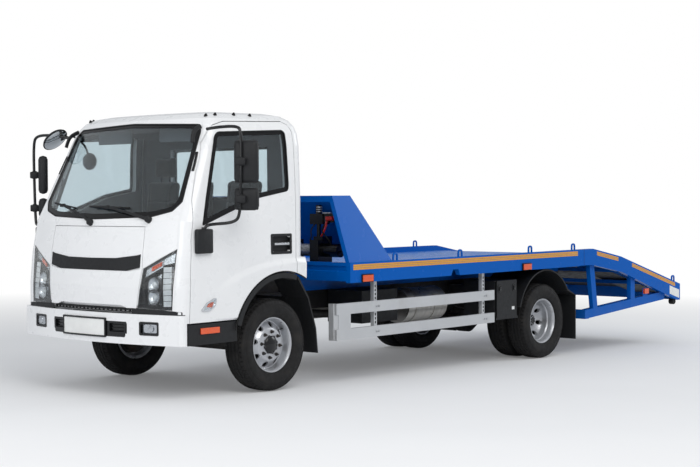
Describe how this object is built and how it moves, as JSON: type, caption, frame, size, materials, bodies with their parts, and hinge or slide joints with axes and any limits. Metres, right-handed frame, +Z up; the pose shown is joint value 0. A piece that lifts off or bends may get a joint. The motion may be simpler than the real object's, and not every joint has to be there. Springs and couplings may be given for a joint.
{
  "type": "tow truck",
  "caption": "Slide-on recovery truck with a tilting cab, a low car deck with a sloping beaver tail, a winch behind the headboard and steered front wheels.",
  "frame": {"origin": "on the ground below the middle of the truck's length and width", "axes": "+X to the driver's side (the truck's left), +Y to the rear, +Z up; the truck faces -Y"},
  "size_m": [2.684, 8.1296, 2.3636],
  "materials": {
    "cab_paint": "white gloss paint",
    "deck_paint": "blue gloss paint",
    "deck_plate": "blue painted tread plate",
    "frame_paint": "black chassis paint",
    "black_plastic": "black grained plastic",
    "grey_metal": "light grey paint",
    "cast_metal": "dark cast iron",
    "silver_rim": "silver wheel paint",
    "tyre_rubber": "black tyre rubber",
    "bare_alloy": "bare aluminised sheet",
    "window_glass": "lightly tinted glass",
    "lamp_lens": "clear lamp lens",
    "amber_lens": "amber lens",
    "red_lens": "red lens",
    "seat_fabric": "dark woven cloth",
    "zinc_steel": "zinc plated steel"
  },
  "bodies": {
    "chassis": {"chassis_frame": "frame_paint", "axles": "cast_metal", "leaf_springs": "frame_paint", "engine": "cast_metal", "silencer": "bare_alloy", "fuel_tank": "bare_alloy", "battery_box": "black_plastic", "deck_frame": "deck_paint", "deck_floor": "deck_plate", "tail_frame": "deck_paint", "ramps": "deck_plate", "lashing_rings": "zinc_steel", "headboard": "deck_paint", "winch_body": "frame_paint", "side_guards": "grey_metal", "tool_box": "black_plastic", "mudguards": "black_plastic", "marker_lamps": "amber_lens", "tail_lamps": "red_lens"},
    "winch_drum": {"winch_drum": "zinc_steel"},
    "tool_box_door": {"tool_box_door": "black_plastic"},
    "cab": {"cab_shell": "cab_paint", "cab_glass": "window_glass", "headlamps": "lamp_lens", "cab_trim": "black_plastic", "bumper": "cab_paint", "fog_lamps": "lamp_lens", "dashboard": "black_plastic", "seats": "seat_fabric"},
    "front_panel": {"front_panel": "cab_paint", "grille_band": "black_plastic"},
    "steering_wheel": {"steering_wheel": "black_plastic"},
    "door_left": {"door_left": "cab_paint", "door_glass_left": "window_glass", "mirrors_left": "black_plastic"},
    "door_right": {"door_right": "cab_paint", "door_glass_right": "window_glass", "mirrors_right": "black_plastic"},
    "knuckle_left": {"knuckle_left": "cast_metal"},
    "knuckle_right": {"knuckle_right": "cast_metal"},
    "tie_rod": {"tie_rod": "frame_paint"},
    "wheel_front_left": {"tyre_front_left": "tyre_rubber", "rim_front_left": "silver_rim"},
    "wheel_front_right": {"tyre_front_right": "tyre_rubber", "rim_front_right": "silver_rim"},
    "wheels_rear_left": {"tyre_rear_left": "tyre_rubber", "rim_rear_left": "silver_rim"},
    "wheels_rear_right": {"tyre_rear_right": "tyre_rubber", "rim_rear_right": "silver_rim"}
  },
  "joints": [
    {"name": "cab_tilt", "type": "hinge", "parent": "chassis", "child": "cab", "pos_m": [0, -3.83028, 0.543], "axis": [1, 0, 0], "range_deg": [0, 45]},
    {"name": "door_left_hinge", "type": "hinge", "parent": "cab", "child": "door_left", "pos_m": [1, -3.84637, 1.18281], "axis": [0, 0.0173, -0.9998], "range_deg": [0, 65]},
    {"name": "door_right_hinge", "type": "hinge", "parent": "cab", "child": "door_right", "pos_m": [-1, -3.84637, 1.18281], "axis": [0, -0.0173, 0.9998], "range_deg": [0, 65]},
    {"name": "front_panel_hinge", "type": "hinge", "parent": "cab", "child": "front_panel", "pos_m": [0, -3.99188, 1.38432], "axis": [-1, 0, 0], "range_deg": [0, 65]},
    {"name": "steering_wheel_turn", "type": "hinge", "parent": "cab", "child": "steering_wheel", "pos_m": [0.52, -3.36664, 1.49117], "axis": [0, 0.4849, 0.8746], "range_deg": [-540, 540]},
    {"name": "steer_left", "type": "hinge", "parent": "chassis", "child": "knuckle_left", "pos_m": [0.745, -2.8475, 0.391], "axis": [0, -0.0173, 0.9998], "range_deg": [-35, 35]},
    {"name": "steer_right", "type": "hinge", "parent": "chassis", "child": "knuckle_right", "pos_m": [-0.745, -2.8475, 0.391], "axis": [0, -0.0173, 0.9998], "range_deg": [-35, 35]},
    {"name": "tie_rod_ball", "type": "hinge", "parent": "knuckle_left", "child": "tie_rod", "pos_m": [0.745, -2.66633, 0.32513], "axis": [0, -0.0173, 0.9998], "range_deg": [-35, 35]},
    {"name": "front_left_wheel_spin", "type": "hinge", "parent": "knuckle_left", "child": "wheel_front_left", "pos_m": [0.87, -2.8475, 0.391], "axis": [1, 0, 0], "continuous": true},
    {"name": "front_right_wheel_spin", "type": "hinge", "parent": "knuckle_right", "child": "wheel_front_right", "pos_m": [-0.87, -2.8475, 0.391], "axis": [1, 0, 0], "continuous": true},
    {"name": "rear_left_wheels_spin", "type": "hinge", "parent": "chassis", "child": "wheels_rear_left", "pos_m": [0.928, 1.19311, 0.391], "axis": [1, 0, 0], "continuous": true},
    {"name": "rear_right_wheels_spin", "type": "hinge", "parent": "chassis", "child": "wheels_rear_right", "pos_m": [-0.928, 1.19311, 0.391], "axis": [1, 0, 0], "continuous": true},
    {"name": "winch_drum_turn", "type": "hinge", "parent": "chassis", "child": "winch_drum", "pos_m": [0.36, -1.77581, 1.16868], "axis": [1, 0, 0], "continuous": true},
    {"name": "tool_box_door_hinge", "type": "hinge", "parent": "chassis", "child": "tool_box_door", "pos_m": [1.031, 0.50495, 0.45209], "axis": [0, 0.9998, 0.0173], "range_deg": [0, 90]}
  ],
  "couplings": [
    {"joint": "steer_right", "follows": "steer_left", "ratio": 1},
    {"joint": "tie_rod_ball", "follows": "steer_left", "ratio": -1},
    {"joint": "steering_wheel_turn", "follows": "steer_left", "ratio": 15}
  ]
}
